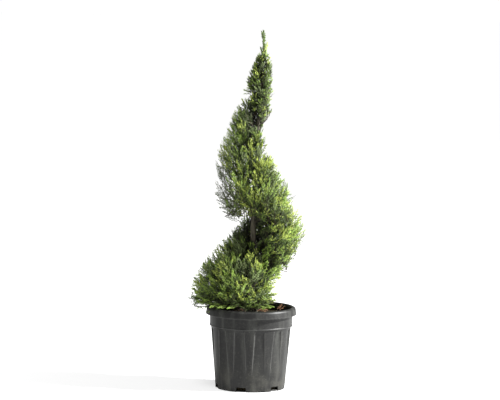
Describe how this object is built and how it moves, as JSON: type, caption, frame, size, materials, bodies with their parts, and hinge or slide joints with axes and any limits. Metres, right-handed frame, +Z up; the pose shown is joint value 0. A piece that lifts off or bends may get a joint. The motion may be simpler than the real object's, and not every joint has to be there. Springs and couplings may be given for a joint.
{
  "type": "potted spiral topiary",
  "caption": "Slim conifer with feathery green foliage, clipped into a tapering spiral that winds round its bare trunk, in a ribbed dark grey nursery pot.",
  "frame": {"origin": "middle of the pot's flat underside, on the floor", "axes": "+Z up along the pot's axis and the foot of the trunk; -Y towards the viewer, with the trunk's tip leaning towards +X and the low, broad lobe of the spiral towards -X"},
  "size_m": [0.4026, 0.3559, 1.2589],
  "materials": {
    "pot": "matte",
    "soil": "matte",
    "bark": "matte",
    "foliage": "matte"
  },
  "bodies": {
    "root": {"pot": "pot", "soil": "soil", "trunk": "bark", "leader": "foliage", "bough_01": "bark", "bough_02": "bark", "bough_03": "bark", "bough_04": "bark", "bough_05": "bark", "bough_06": "bark", "bough_07": "bark", "bough_08": "bark", "bough_09": "bark", "bough_10": "bark", "foliage_01": "foliage", "foliage_02": "foliage", "foliage_03": "foliage", "foliage_04": "foliage", "foliage_05": "foliage", "foliage_06": "foliage", "foliage_07": "foliage", "foliage_08": "foliage", "foliage_09": "foliage", "foliage_10": "foliage", "foliage_11": "foliage", "foliage_12": "foliage"}
  },
  "joints": []
}
